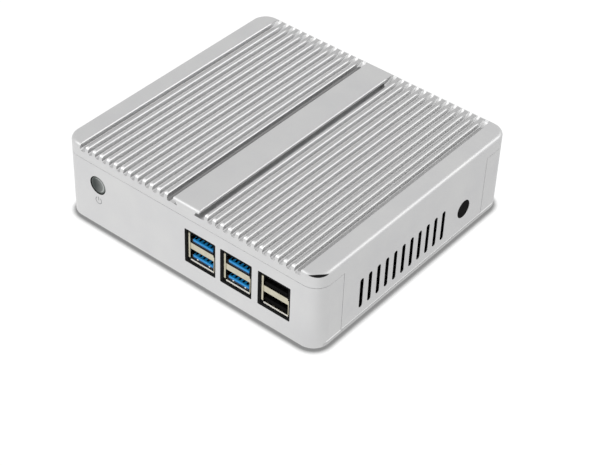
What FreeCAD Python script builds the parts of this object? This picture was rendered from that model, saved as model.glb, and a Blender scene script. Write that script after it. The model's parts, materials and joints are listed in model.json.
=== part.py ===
"""Fanless signage player: finned aluminium case, board and sockets, in millimetres.

Origin: centre of the footprint, on the surface that the feet stand on.
X runs along the front from the power button to the last socket, Y from front to back.
"""
import FreeCAD
import Part
import Sketcher
import math
import os
import types

SIZES = {
    # Case
    "case_width": 134.0,
    "case_depth": 126.0,
    "case_height": 38.0,
    "foot_stand": 1.0,
    "corner_radius": 7.5,
    "top_edge_radius": 1.8,
    "bottom_bevel": 0.35,
    "parting_bevel": 0.15,
    "end_wall": 2.5,
    "side_wall": 2.8,
    "seam_gap": 0.15,
    # Heatsink cover
    "cover_rim": 6.7,
    "groove_depth": 2.9,
    "fin_root": 2.8,
    "fin_pitch": 3.95,
    "groove_width": 2.3,
    "narrow_grooves": 11,
    "wide_groove": 2.9,
    "fin_bevel": 0.35,
    "groove_corner": 0.6,
    "cutter_radius": 8.0,
    "cutter_lift_angle": 75.0,
    "cutter_margin": 7.2,
    "bar_half_width": 6.9,
    "bar_cap": 1.3,
    "bar_neck_top": 5.4,
    "bar_neck_root": 4.5,
    "skirt_inset": 15.5,
    "sill_height": 1.9,
    "pedestal_side": 42.0,
    # Side vents and aerial hole
    "slot_first": -35.7,
    "slot_pitch": 5.43,
    "slot_count": 11,
    "slot_width": 2.2,
    "slot_low": 7.0,
    "slot_length": 14.9,
    "aerial_place": 33.45,
    "aerial_height": 14.2,
    "aerial_radius": 4.25,
    "plug_clearance": 0.05,
    "plug_flange": 1.0,
    "plug_flange_thickness": 1.1,
    "plug_setback": 0.1,
    # Case screws in the corners
    "screw_inset": 6.7,
    "screw_radius": 1.5,
    "screw_clearance": 0.1,
    "screw_pass_clearance": 0.2,
    "screw_head_radius": 2.9,
    "screw_thread_depth": 4.5,
    "screw_tip_gap": 0.4,
    "corner_boss_radius": 4.2,
    "screw_drive_radius": 1.1,
    "screw_drive_depth": 1.0,
    # Base plate
    "base_thickness": 2.0,
    "base_gap": 0.15,
    "foot_inset_x": 15.0,
    "foot_inset_y": 15.0,
    "foot_radius": 5.5,
    "foot_recess": 0.8,
    "foot_clearance": 0.15,
    "foot_edge": 0.35,
    "bracket_spacing": 75.0,
    "bracket_hole_radius": 2.0,
    "vent_width": 2.4,
    "vent_length": 20.0,
    "vent_pitch": 6.0,
    "vent_count": 7,
    "vent_row": 16.0,
    # Main board
    "board_hang": 5.1,
    "board_thickness": 1.6,
    "board_gap": 2.2,
    "board_corner_cut": 9.0,
    "board_screw_inset_x": 11.0,
    "board_screw_inset_y": 22.3,
    "board_boss_radius": 3.0,
    "board_screw_radius": 1.25,
    "board_screw_depth": 5.0,
    "board_screw_clearance": 0.1,
    "board_head_radius": 2.3,
    "board_head_height": 1.5,
    # Processor
    "cpu_width": 25.0,
    "cpu_depth": 27.0,
    "cpu_thickness": 1.1,
    "die_width": 12.0,
    "die_depth": 9.0,
    "die_thickness": 0.7,
    "pad_margin": 1.5,
    "pad_thickness": 0.8,
    # Double USB sockets
    "usb_inset": 21.35,
    "usb_step_outer": 19.3,
    "usb_step_inner": 18.7,
    "usb_width": 14.2,
    "usb_mouth_width": 12.5,
    "usb_height": 15.6,
    "usb_length": 17.5,
    "usb_skin": 0.3,
    "usb_recess": 0.85,
    "usb_left_gap": 1.25,
    "usb_right_gap": 0.75,
    "usb_low_gap": 1.2,
    "usb_top_gap": 0.2,
    "usb_cut_corner": 0.5,
    "usb_mouth_height": 5.1,
    "usb_mouth_low": 1.0,
    "usb_divider": 3.0,
    "usb_mouth_depth": 12.0,
    "usb_tongue_width": 11.1,
    "usb_tongue_thickness": 1.85,
    "usb_tongue_rise": 0.35,
    "usb_tongue_setback": 0.3,
    "usb_fit": 0.05,
    "usb3_contact_count": 5,
    "usb3_contact_pitch": 2.0,
    "usb2_contact_count": 4,
    "usb2_contact_pitch": 2.3,
    "usb_contact_width": 0.7,
    "usb_contact_length": 6.5,
    "contact_thickness": 0.15,
    "usb_lane_width": 1.0,
    "usb_lane_depth": 0.7,
    "usb_lane_setback": 0.6,
    # Foam gaskets round the USB sockets
    "gasket_setback": 0.15,
    "gasket_length": 3.0,
    "gasket_fit": 0.05,
    # Power button and its switch
    "button_inset": 18.4,
    "button_drop": 4.0,
    "button_radius": 4.2,
    "button_clearance": 0.15,
    "button_setback": 0.35,
    "button_dish": 0.35,
    "button_dish_radius": 3.3,
    "button_edge": 0.3,
    "button_flange": 1.1,
    "button_flange_thickness": 0.9,
    "button_flange_gap": 0.2,
    "button_travel": 0.5,
    "switch_width": 7.0,
    "switch_length": 3.5,
    "switch_top": 7.0,
    "switch_setback": 6.5,
    "plunger_radius": 1.75,
    "plunger_clearance": 0.15,
    "plunger_engage": 0.7,
    "plunger_end_gap": 0.3,
    # Memory, drive and radio cards under the board
    "memory_x": 3.0,
    "memory_y": 27.0,
    "memory_length": 67.6,
    "memory_depth": 30.0,
    "memory_thickness": 1.2,
    "memory_drop": 2.6,
    "memory_socket_length": 70.0,
    "memory_socket_depth": 6.6,
    "memory_socket_height": 5.2,
    "drive_x": 9.5,
    "drive_y": -27.0,
    "drive_length": 50.8,
    "drive_depth": 29.8,
    "drive_thickness": 1.0,
    "drive_drop": 2.4,
    "drive_socket_depth": 6.0,
    "drive_socket_height": 4.0,
    "radio_x": -47.0,
    "radio_y": 15.0,
    "radio_width": 22.0,
    "radio_length": 30.0,
    "radio_thickness": 0.8,
    "radio_drop": 2.0,
    "radio_socket_depth": 5.0,
    "radio_socket_height": 3.6,
    "edge_engage": 2.2,
    "edge_clearance": 0.1,
    # Coin cell under the board
    "cell_x": -40.0,
    "cell_y": -20.0,
    "cell_radius": 10.0,
    "cell_thickness": 3.2,
    "holder_floor": 1.2,
    "holder_wall": 1.2,
    "cell_clearance": 0.15,
    # Parts on top of the board
    "inductor_x": -28.5,
    "inductor_side": 7.0,
    "inductor_height": 4.0,
    "inductor_pitch": 9.0,
    "inductor_count": 4,
    "capacitor_x": 28.5,
    "capacitor_radius": 3.15,
    "capacitor_height": 4.4,
    "capacitor_pitch": 8.0,
    "capacitor_count": 5,
    # Supply socket
    "supply_x": 48.0,
    "supply_width": 9.0,
    "supply_height": 11.0,
    "supply_length": 12.0,
    "supply_barrel_radius": 4.0,
    "supply_bore_radius": 2.75,
    "supply_bore_depth": 10.0,
    "supply_pin_radius": 1.0,
    "supply_pin_length": 9.0,
    "rear_setback": 0.4,
    "rear_body_gap": 0.3,
    "rear_clearance": 0.25,
    # Video sockets
    "video_x_first": 27.5,
    "video_x_second": 6.0,
    "video_width": 14.6,
    "video_height": 5.6,
    "video_length": 11.5,
    "video_skin": 0.35,
    "video_bevel_x": 1.9,
    "video_bevel_z": 2.2,
    "video_tongue_width": 10.8,
    "video_tongue_thickness": 1.5,
    "video_tongue_setback": 1.2,
    "video_rear_block": 3.0,
    # Network socket
    "network_x": -17.0,
    "network_width": 16.0,
    "network_height": 13.5,
    "network_length": 21.0,
    "network_skin": 0.3,
    "network_fit": 0.05,
    "network_mouth_width": 11.9,
    "network_mouth_height": 7.0,
    "network_mouth_low": 2.6,
    "network_latch_width": 6.2,
    "network_latch_height": 1.5,
    "network_mouth_depth": 13.0,
    "network_contact_count": 8,
    "network_contact_pitch": 1.02,
    "network_contact_width": 0.45,
    "network_contact_length": 9.0,
    "network_contact_height": 0.5,
    # Sound sockets
    "speaker_x": -35.5,
    "microphone_x": -47.5,
    "sound_width": 8.0,
    "sound_height": 7.4,
    "sound_length": 10.0,
    "sound_barrel_radius": 3.0,
    "sound_bore_radius": 1.8,
    "sound_bore_depth": 11.0,
}


class Size:
    """A number that remembers the formula it came from."""

    def __init__(self, value, formula):
        self.value = value
        self.formula = formula

    def __neg__(self):
        return Size(-self.value, f"(-1 * {self.formula})")

    def __add__(self, other):
        other = as_size(other)
        return Size(self.value + other.value, f"({self.formula} + {other.formula})")

    def __sub__(self, other):
        other = as_size(other)
        return Size(self.value - other.value, f"({self.formula} - {other.formula})")

    def __mul__(self, other):
        other = as_size(other)
        return Size(self.value * other.value, f"({self.formula} * {other.formula})")

    def __truediv__(self, other):
        other = as_size(other)
        return Size(self.value / other.value, f"({self.formula} / {other.formula})")

    __radd__ = __add__
    __rmul__ = __mul__


def as_size(number):
    """A plain number or a size, as a size."""
    if isinstance(number, Size):
        return number
    return Size(number, f"({number:.9g})")


doc = FreeCAD.newDocument("signage_player")
sheet = doc.addObject("Spreadsheet::Sheet", "Sizes")
size = types.SimpleNamespace()
for line, (alias, number) in enumerate(SIZES.items(), start=1):
    sheet.set(f"A{line}", alias)
    sheet.set(f"B{line}", str(number))
    sheet.setAlias(f"B{line}", alias)
    setattr(size, alias, Size(number, f"Sizes.{alias}"))
doc.recompute()

# Levels and faces that several pieces share
half_width = size.case_width / 2
half_depth = size.case_depth / 2
inner_x = half_width - size.side_wall
inner_y = half_depth - size.end_wall
z_case = size.foot_stand
z_top = z_case + size.case_height
z_parting = z_top - size.cover_rim
z_groove = z_top - size.groove_depth
z_ceiling = z_groove - size.fin_root
z_sill = z_case + size.sill_height
z_base_top = z_case + size.base_thickness
z_board_top = z_ceiling - size.board_hang
z_board = z_board_top - size.board_thickness
screw_x = half_width - size.screw_inset
screw_y = half_depth - size.screw_inset
z_button = z_board - size.button_drop
button_x = size.button_inset - half_width
usb_third = half_width - size.usb_inset
usb_second = usb_third - size.usb_step_outer
usb_first = usb_second - size.usb_step_inner
half_skirt = half_depth - size.skirt_inset
board_x = inner_x - size.board_gap
board_y = inner_y - size.board_gap
board_screw_x = board_x - size.board_screw_inset_x
board_screw_y = board_y - size.board_screw_inset_y
front_sockets = -half_depth + size.usb_recess
rear_sockets = half_depth - size.rear_setback
rear_bodies = inner_y - size.rear_body_gap

NODES = {}
TURN_TO_X = FreeCAD.Rotation(FreeCAD.Vector(0, 1, 0), 90)
TURN_TO_Y = FreeCAD.Rotation(FreeCAD.Vector(1, 0, 0), -90)
TURN_TO_MINUS_X = FreeCAD.Rotation(FreeCAD.Vector(0, 1, 0), -90)


def bind(thing, path, number):
    """Tie one property of an object to a size."""
    number = as_size(number)
    if "." not in path:
        setattr(thing, path, number.value)
    thing.setExpression(path, number.formula)


def place(thing, x, y, z, rotation=FreeCAD.Rotation()):
    """Put an object at x, y, z."""
    spot = FreeCAD.Vector(as_size(x).value, as_size(y).value, as_size(z).value)
    thing.Placement = FreeCAD.Placement(spot, rotation)
    bind(thing, "Placement.Base.x", x)
    bind(thing, "Placement.Base.y", y)
    bind(thing, "Placement.Base.z", z)


def node(label, thing):
    """Name a finished sub-part."""
    thing.Label = label
    NODES[label] = thing
    return thing


def new_body(label):
    """An empty body for one sub-part."""
    body = doc.addObject("PartDesign::Body", label)
    return node(label, body)


def new_sketch(body, name, plane, offset=0):
    """A sketch on one of the body's own planes, moved along the plane's normal."""
    sketch = body.newObject("Sketcher::SketchObject", name)
    support = [item for item in body.Origin.OriginFeatures if item.Role == plane + "_Plane"]
    sketch.AttachmentSupport = [(support[0], "")]
    sketch.MapMode = "FlatFace"
    along = FreeCAD.Vector(0, 0, as_size(offset).value)
    sketch.AttachmentOffset = FreeCAD.Placement(along, FreeCAD.Rotation())
    bind(sketch, "AttachmentOffset.Base.z", offset)
    return sketch


def pin(sketch, geometry, point, x, y):
    """Fix one point of a sketch by its distances from the sketch's axes."""
    for kind, number, axis in (("DistanceX", as_size(x), -2), ("DistanceY", as_size(y), -1)):
        if abs(number.value) < 1e-9:
            sketch.addConstraint(Sketcher.Constraint("PointOnObject", geometry, point, axis))
        elif number.value > 0:
            index = sketch.addConstraint(Sketcher.Constraint(kind, -1, 1, geometry, point, number.value))
            sketch.setExpression(f"Constraints[{index}]", number.formula)
        else:
            index = sketch.addConstraint(Sketcher.Constraint(kind, geometry, point, -1, 1, -number.value))
            sketch.setExpression(f"Constraints[{index}]", (-number).formula)


def arc_between(start, end, radius):
    """The short arc from start to end: anticlockwise, or clockwise where the radius is negative."""
    turn = math.copysign(1, radius)
    chord = end - start
    rise = math.sqrt(max(radius ** 2 - chord.Length ** 2 / 4, 0))
    side = FreeCAD.Vector(-chord.y, chord.x, 0).normalize()
    centre = (start + end) / 2 + side * rise * turn
    first, last = (start, end) if turn > 0 else (end, start)
    angle_first = math.atan2(first.y - centre.y, first.x - centre.x)
    angle_last = math.atan2(last.y - centre.y, last.x - centre.x)
    if angle_last < angle_first:
        angle_last += 2 * math.pi
    circle = Part.Circle(centre, FreeCAD.Vector(0, 0, 1), abs(radius))
    return Part.ArcOfCircle(circle, angle_first, angle_last)


def outline(sketch, points, arcs=None):
    """A closed outline. arcs gives the radius of each edge that is an arc, by its first point's number."""
    arcs = arcs or {}
    first = sketch.GeometryCount
    spots = [FreeCAD.Vector(as_size(x).value, as_size(y).value, 0) for x, y in points]
    ends = []
    for index, start in enumerate(spots):
        end = spots[(index + 1) % len(spots)]
        if index in arcs:
            radius = as_size(arcs[index])
            sketch.addGeometry(arc_between(start, end, radius.value), False)
            ends.append((1, 2) if radius.value > 0 else (2, 1))
        else:
            sketch.addGeometry(Part.LineSegment(start, end), False)
            ends.append((1, 2))
    for index, (x, y) in enumerate(points):
        after = (index + 1) % len(points)
        this_end = (first + index, ends[index][1])
        next_start = (first + after, ends[after][0])
        sketch.addConstraint(Sketcher.Constraint("Coincident", *this_end, *next_start))
        pin(sketch, first + index, ends[index][0], x, y)
        if index in arcs:
            radius = as_size(arcs[index])
            radius = radius if radius.value > 0 else -radius
            number = sketch.addConstraint(Sketcher.Constraint("Radius", first + index, radius.value))
            sketch.setExpression(f"Constraints[{number}]", radius.formula)


def rectangle(sketch, x_low, x_high, y_low, y_high, radius=None):
    """A rectangle, with round corners if a radius is given."""
    if radius is None:
        outline(sketch, [(x_low, y_low), (x_high, y_low), (x_high, y_high), (x_low, y_high)])
        return
    points = [
        (x_low + radius, y_low), (x_high - radius, y_low),
        (x_high, y_low + radius), (x_high, y_high - radius),
        (x_high - radius, y_high), (x_low + radius, y_high),
        (x_low, y_high - radius), (x_low, y_low + radius),
    ]
    outline(sketch, points, {1: radius, 3: radius, 5: radius, 7: radius})


def slot(sketch, x, y_low, y_high, width):
    """A slot with round ends, along the sketch's second axis."""
    radius = width / 2
    points = [
        (x, y_low), (x + radius, y_low + radius),
        (x + radius, y_high - radius), (x, y_high),
        (x - radius, y_high - radius), (x - radius, y_low + radius),
    ]
    outline(sketch, points, {0: radius, 2: radius, 3: radius, 5: radius})


def circle(sketch, x, y, radius):
    """A full circle."""
    spot = FreeCAD.Vector(as_size(x).value, as_size(y).value, 0)
    radius = as_size(radius)
    index = sketch.addGeometry(Part.Circle(spot, FreeCAD.Vector(0, 0, 1), radius.value), False)
    pin(sketch, index, 3, x, y)
    number = sketch.addConstraint(Sketcher.Constraint("Radius", index, radius.value))
    sketch.setExpression(f"Constraints[{number}]", radius.formula)


def pad(body, name, sketch, length):
    """Material from a sketch along its normal."""
    feature = body.newObject("PartDesign::Pad", name)
    feature.Profile = sketch
    bind(feature, "Length", length)
    body.Tip = feature
    return feature


def pocket(body, name, sketch, length=None, along=True, both=False):
    """A cut from a sketch, along its normal or against it, or through everything on both sides."""
    feature = body.newObject("PartDesign::Pocket", name)
    feature.Profile = sketch
    feature.Reversed = along
    if length is None:
        feature.Type = "ThroughAll"
    else:
        bind(feature, "Length", length)
    if both:
        feature.SideType = "Symmetric"
    body.Tip = feature
    return feature


def revolve(body, name, sketch):
    """A full turn of a half profile about the sketch's vertical axis."""
    feature = body.newObject("PartDesign::Revolution", name)
    feature.Profile = sketch
    feature.ReferenceAxis = (sketch, ["V_Axis"])
    feature.Angle = 360
    body.Tip = feature
    return feature


def origin_item(body, role):
    """One of the body's own axes or planes."""
    return [item for item in body.Origin.OriginFeatures if item.Role == role][0]


def mirror(body, name, originals):
    """The same features on the other side of the middle plane."""
    feature = body.newObject("PartDesign::Mirrored", name)
    feature.Originals = originals
    feature.MirrorPlane = (origin_item(body, "YZ_Plane"), [""])
    body.Tip = feature
    return feature


def row(body, name, originals, sketch, pitch, count):
    """A row of the same features along the sketch's first axis."""
    feature = body.newObject("PartDesign::LinearPattern", name)
    feature.Originals = originals
    feature.Direction = (sketch, ["H_Axis"])
    feature.Mode = "Spacing"
    bind(feature, "Offset", pitch)
    feature.Occurrences = int(count.value)
    feature.setExpression("Occurrences", count.formula)
    body.Tip = feature
    return feature


def edges_where(feature, test):
    """Names of the edges whose points all pass a test."""
    names = []
    for index, edge in enumerate(feature.Shape.Edges, start=1):
        if all(test(point) for point in edge.discretize(5)):
            names.append(f"Edge{index}")
    return names


def soften(body, name, kind, test, amount):
    """Round or bevel the edges of the body so far that pass a test."""
    doc.recompute()
    base = body.Tip
    feature = body.newObject("PartDesign::" + kind, name)
    feature.Base = (base, edges_where(base, test))
    bind(feature, "Radius" if kind == "Fillet" else "Size", amount)
    body.Tip = feature
    return feature


def near(first, second):
    """True where two coordinates are the same."""
    return abs(first - as_size(second).value) < 1e-4


def block(x_low, x_high, y_low, y_high, z_low, z_high, name="Block"):
    """A box between two corners."""
    box = doc.addObject("Part::Box", name)
    bind(box, "Length", x_high - x_low)
    bind(box, "Width", y_high - y_low)
    bind(box, "Height", z_high - z_low)
    place(box, x_low, y_low, z_low)
    return box


def rod(x, y, z, radius, length, rotation=FreeCAD.Rotation(), name="Rod"):
    """A cylinder that starts at x, y, z and runs along Z, or where the rotation turns Z."""
    cylinder = doc.addObject("Part::Cylinder", name)
    bind(cylinder, "Radius", radius)
    bind(cylinder, "Height", length)
    place(cylinder, x, y, z, rotation)
    return cylinder


def fuse(things, name="Joined"):
    """Several shapes as one solid."""
    union = doc.addObject("Part::MultiFuse", name)
    union.Shapes = things
    union.Refine = True
    return union


def cut(base, tools, name="Cut"):
    """A shape less one or more others."""
    result = doc.addObject("Part::Cut", name)
    result.Base = base
    result.Tool = tools[0] if len(tools) == 1 else fuse(tools)
    return result


def group(things, name="Group"):
    """Separate solids kept together."""
    compound = doc.addObject("Part::Compound", name)
    compound.Links = things
    return compound


def corners(x, y):
    """The four places at plus or minus x and y."""
    return [(x * sign_x, y * sign_y) for sign_x in (-1, 1) for sign_y in (-1, 1)]


def groove_profile(sketch, centre, width):
    """Section of one groove: floor with cut corners, upright walls, and bevels on the fins' top edges."""
    half = width / 2
    corner = size.groove_corner
    bevel = size.fin_bevel
    outline(sketch, [
        (centre - half + corner, z_groove), (centre + half - corner, z_groove),
        (centre + half, z_groove + corner), (centre + half, z_top - bevel),
        (centre + half + bevel * 2, z_top + bevel), (centre - half - bevel * 2, z_top + bevel),
        (centre - half, z_top - bevel), (centre - half, z_groove + corner),
    ])


def mill_grooves(body, name, profiles):
    """Grooves from the front edge to where the round cutter lifts out before the back edge."""
    groove_end = half_depth - size.cutter_margin
    sketch = new_sketch(body, name + "Profile", "XZ", -groove_end)
    z_axle = z_groove + size.cutter_radius
    axle = sketch.addGeometry(Part.LineSegment(FreeCAD.Vector(-1, z_axle.value, 0),
                                               FreeCAD.Vector(1, z_axle.value, 0)), True)
    pin(sketch, axle, 1, -1, z_axle)
    pin(sketch, axle, 2, 1, z_axle)
    for centre, width in profiles:
        groove_profile(sketch, centre, width)
    straight = pocket(body, name + "Run", sketch)
    lift = body.newObject("PartDesign::Groove", name + "Lift")
    lift.Profile = sketch
    lift.ReferenceAxis = (sketch, ["Axis0"])
    bind(lift, "Angle", size.cutter_lift_angle)
    body.Tip = lift
    return sketch, straight, lift


def make_heatsink_cover():
    """Lid and side skirts in one piece of aluminium, with the fins milled into the top."""
    body = new_body("heatsink_cover")
    plate = new_sketch(body, "PlateOutline", "XY", z_parting)
    rectangle(plate, -half_width, half_width, -half_depth, half_depth, size.corner_radius)
    pad(body, "Plate", plate, size.cover_rim)
    soften(body, "TopRound", "Fillet", lambda point: near(point.z, z_top), size.top_edge_radius)

    hollow = new_sketch(body, "HollowOutline", "XY", z_parting)
    rectangle(hollow, -inner_x, inner_x, -inner_y, inner_y, size.corner_radius - size.end_wall)
    pocket(body, "Hollow", hollow, z_ceiling - z_parting)

    skirt_foot = z_sill + size.seam_gap
    skirts = new_sketch(body, "SkirtOutline", "XY", skirt_foot)
    rectangle(skirts, inner_x, half_width, -half_skirt, half_skirt)
    rectangle(skirts, -half_width, -inner_x, -half_skirt, half_skirt)
    pad(body, "Skirts", skirts, z_parting - skirt_foot)

    pedestal_face = z_board_top + size.cpu_thickness + size.die_thickness + size.pad_thickness
    pedestal = new_sketch(body, "PedestalOutline", "XY", pedestal_face)
    half_pedestal = size.pedestal_side / 2
    rectangle(pedestal, -half_pedestal, half_pedestal, -half_pedestal, half_pedestal)
    pad(body, "Pedestal", pedestal, z_ceiling - pedestal_face)

    corner_bosses = new_sketch(body, "CornerBossOutline", "XY", z_parting)
    for x, y in corners(screw_x, screw_y):
        circle(corner_bosses, x, y, size.corner_boss_radius)
    pad(body, "CornerBosses", corner_bosses, z_ceiling - z_parting)

    board_bosses = new_sketch(body, "BoardBossOutline", "XY", z_board_top)
    for x, y in corners(board_screw_x, board_screw_y):
        circle(board_bosses, x, y, size.board_boss_radius)
    pad(body, "BoardBosses", board_bosses, z_ceiling - z_board_top)

    case_threads = new_sketch(body, "CaseThreadOutline", "XY", z_parting)
    for x, y in corners(screw_x, screw_y):
        circle(case_threads, x, y, size.screw_radius + size.screw_clearance)
    pocket(body, "CaseThreads", case_threads, size.screw_thread_depth)

    board_threads = new_sketch(body, "BoardThreadOutline", "XY", z_board_top)
    for x, y in corners(board_screw_x, board_screw_y):
        circle(board_threads, x, y, size.board_screw_radius + size.board_screw_clearance)
    pocket(body, "BoardThreads", board_threads, size.board_screw_depth)

    vent = new_sketch(body, "SideVentOutline", "YZ")
    slot(vent, size.slot_first, size.slot_low, size.slot_low + size.slot_length, size.slot_width)
    first_vent = pocket(body, "SideVent", vent, both=True)
    row(body, "SideVents", [first_vent], vent, size.slot_pitch, size.slot_count)

    aerial = new_sketch(body, "AerialOutline", "YZ")
    circle(aerial, size.aerial_place, size.aerial_height, size.aerial_radius)
    pocket(body, "AerialHoles", aerial, both=True)

    soften(body, "PartingBevel", "Chamfer", on_parting_edge, size.parting_bevel)
    make_grooves(body)


def on_parting_edge(point):
    """True on the outer edge of the joint between the cover and the frame."""
    at_end = near(abs(point.y), half_depth)
    past_skirt = abs(point.y) > half_skirt.value - 1e-4
    at_side = near(abs(point.x), half_width) and past_skirt
    corner_x = (half_width - size.corner_radius).value
    corner_y = (half_depth - size.corner_radius).value
    reach = math.hypot(abs(point.x) - corner_x, abs(point.y) - corner_y)
    in_corner = abs(point.x) >= corner_x and abs(point.y) >= corner_y
    on_corner = in_corner and near(reach, size.corner_radius)
    return near(point.z, z_parting) and (at_end or at_side or on_corner)


def make_grooves(body):
    """The grooves between the fins, and the undercut channels beside the middle bar."""
    fin_width = size.fin_pitch - size.groove_width
    first_fin = size.bar_half_width + size.wide_groove
    first_groove = first_fin + fin_width + size.groove_width / 2
    channel = size.bar_half_width + size.wide_groove / 2
    border = first_fin + size.fin_pitch * size.narrow_grooves + fin_width + size.wide_groove / 2
    wide = [(channel, size.wide_groove), (border, size.wide_groove)]
    sketch, straight, lift = mill_grooves(body, "Wide", wide)
    undercut = new_sketch(body, "UndercutProfile", "XZ", size.cutter_margin - half_depth)
    z_cap = z_top - size.bar_cap
    outline(undercut, [
        (channel, z_groove), (channel, z_cap),
        (size.bar_neck_top, z_cap), (size.bar_neck_root, z_groove),
    ])
    under = pocket(body, "Undercut", undercut)
    mirror(body, "WideMirror", [straight, lift, under])

    sketch, straight, lift = mill_grooves(body, "Narrow", [(first_groove, size.groove_width)])
    bank = body.newObject("PartDesign::MultiTransform", "FinBanks")
    bank.Originals = [straight, lift]
    along = body.newObject("PartDesign::LinearPattern", "FinRow")
    along.Direction = (sketch, ["H_Axis"])
    along.Mode = "Spacing"
    bind(along, "Offset", size.fin_pitch)
    along.Occurrences = int(size.narrow_grooves.value)
    along.setExpression("Occurrences", size.narrow_grooves.formula)
    across = body.newObject("PartDesign::Mirrored", "FinMirror")
    across.MirrorPlane = (origin_item(body, "YZ_Plane"), [""])
    bank.Transformations = [along, across]
    body.Tip = bank


def make_chassis_frame():
    """Front wall, back wall, round corners and the low sills that join them along the sides."""
    body = new_body("chassis_frame")
    ring = new_sketch(body, "RingOutline", "XY", z_case)
    rectangle(ring, -half_width, half_width, -half_depth, half_depth, size.corner_radius)
    rectangle(ring, -inner_x, inner_x, -inner_y, inner_y, size.corner_radius - size.end_wall)
    pad(body, "Ring", ring, z_parting - z_case)
    soften(body, "BottomBevel", "Chamfer", on_bottom_edge, size.bottom_bevel)
    bosses = new_sketch(body, "BossOutline", "XY", z_base_top)
    for x, y in corners(screw_x, screw_y):
        circle(bosses, x, y, size.corner_boss_radius)
    pad(body, "Bosses", bosses, z_parting - z_base_top)

    opening = new_sketch(body, "SideOpeningOutline", "YZ")
    half_opening = half_skirt + size.seam_gap
    rectangle(opening, -half_opening, half_opening, z_sill, z_top)
    pocket(body, "SideOpenings", opening, both=True)

    passes = new_sketch(body, "ScrewPassOutline", "XY", z_base_top)
    for x, y in corners(screw_x, screw_y):
        circle(passes, x, y, size.screw_radius + size.screw_pass_clearance)
    pocket(body, "ScrewPasses", passes, z_parting - z_base_top)

    front = new_sketch(body, "FrontCuts", "XZ", half_depth)
    for x in (usb_first, usb_second, usb_third):
        rectangle(front, *usb_opening(x), size.usb_cut_corner)
    circle(front, button_x, z_button, size.button_radius + size.button_clearance)
    pocket(body, "FrontOpenings", front, size.end_wall + size.seam_gap, along=False)

    rear = new_sketch(body, "RearCuts", "XZ", -half_depth)
    gap = size.rear_clearance
    for x in (size.video_x_first, size.video_x_second):
        half = size.video_width / 2 + gap
        rectangle(rear, x - half, x + half, z_board - size.video_height - gap, z_board + gap,
                  size.usb_cut_corner)
    half = size.network_width / 2 + gap
    rectangle(rear, size.network_x - half, size.network_x + half,
              z_board - size.network_height - gap, z_board + gap, size.usb_cut_corner)
    circle(rear, size.supply_x, z_board - size.supply_height / 2, size.supply_barrel_radius + gap)
    for x in (size.speaker_x, size.microphone_x):
        circle(rear, x, z_board - size.sound_height / 2, size.sound_barrel_radius + gap)
    pocket(body, "RearOpenings", rear, size.end_wall + size.seam_gap)


def usb_opening(x):
    """Sides of the hole in the front wall for the double USB socket at x."""
    half = size.usb_width / 2
    return (x - half - size.usb_left_gap, x + half + size.usb_right_gap,
            z_board - size.usb_height - size.usb_low_gap, z_board + size.usb_top_gap)


def on_bottom_edge(point):
    """True on the outer edge of the case's underside."""
    outside = abs(point.x) > inner_x.value + 1e-4 or abs(point.y) > inner_y.value + 1e-4
    corner_x = (half_width - size.corner_radius).value
    corner_y = (half_depth - size.corner_radius).value
    in_corner = abs(point.x) > corner_x and abs(point.y) > corner_y
    reach = math.hypot(abs(point.x) - corner_x, abs(point.y) - corner_y)
    on_corner = not in_corner or near(reach, size.corner_radius)
    return near(point.z, z_case) and outside and on_corner


def make_base_plate():
    """Sheet that closes the underside, with vents, foot recesses and holes for a wall bracket."""
    body = new_body("base_plate")
    sheet_outline = new_sketch(body, "SheetOutline", "XY", z_case)
    gap = size.base_gap
    rectangle(sheet_outline, -inner_x + gap, inner_x - gap, -inner_y + gap, inner_y - gap,
              size.corner_radius - size.end_wall - gap)
    pad(body, "Sheet", sheet_outline, size.base_thickness)

    holes = new_sketch(body, "HoleOutline", "XY", z_case)
    for x, y in corners(screw_x, screw_y):
        circle(holes, x, y, size.screw_radius + size.screw_pass_clearance)
    half_spacing = size.bracket_spacing / 2
    for x, y in corners(half_spacing, half_spacing):
        circle(holes, x, y, size.bracket_hole_radius)
    pocket(body, "Holes", holes, size.base_thickness)

    recesses = new_sketch(body, "RecessOutline", "XY", z_case)
    for x, y in corners(half_width - size.foot_inset_x, half_depth - size.foot_inset_y):
        circle(recesses, x, y, size.foot_radius + size.foot_clearance)
    pocket(body, "Recesses", recesses, size.foot_recess)

    vent = new_sketch(body, "BaseVentOutline", "XY", z_case)
    half_vent = size.vent_length / 2
    first = size.vent_pitch * (size.vent_count - 1) / -2
    for y in (-size.vent_row, size.vent_row):
        slot(vent, first, y - half_vent, y + half_vent, size.vent_width)
    first_vents = pocket(body, "BaseVent", vent, size.base_thickness)
    row(body, "BaseVents", [first_vents], vent, size.vent_pitch, size.vent_count)

    def at_countersink(point):
        reach = math.hypot(abs(point.x) - screw_x.value, abs(point.y) - screw_y.value)
        return near(point.z, z_case) and near(reach, size.screw_radius + size.screw_pass_clearance)
    sink = size.screw_head_radius - size.screw_radius - size.screw_pass_clearance
    soften(body, "Countersinks", "Chamfer", at_countersink, sink)


def make_feet():
    """Four rubber discs, each set into its recess."""
    places = {
        "foot_front_left": (-1, -1), "foot_front_right": (1, -1),
        "foot_rear_left": (-1, 1), "foot_rear_right": (1, 1),
    }
    height = size.foot_stand + size.foot_recess
    for label, (side_x, side_y) in places.items():
        body = new_body(label)
        half = new_sketch(body, "HalfProfile", "XZ")
        edge = size.foot_edge
        outline(half, [
            (0, 0), (size.foot_radius - edge, 0), (size.foot_radius, edge),
            (size.foot_radius, height), (0, height),
        ])
        revolve(body, "Disc", half)
        place(body, (half_width - size.foot_inset_x) * side_x, (half_depth - size.foot_inset_y) * side_y, 0)


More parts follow.
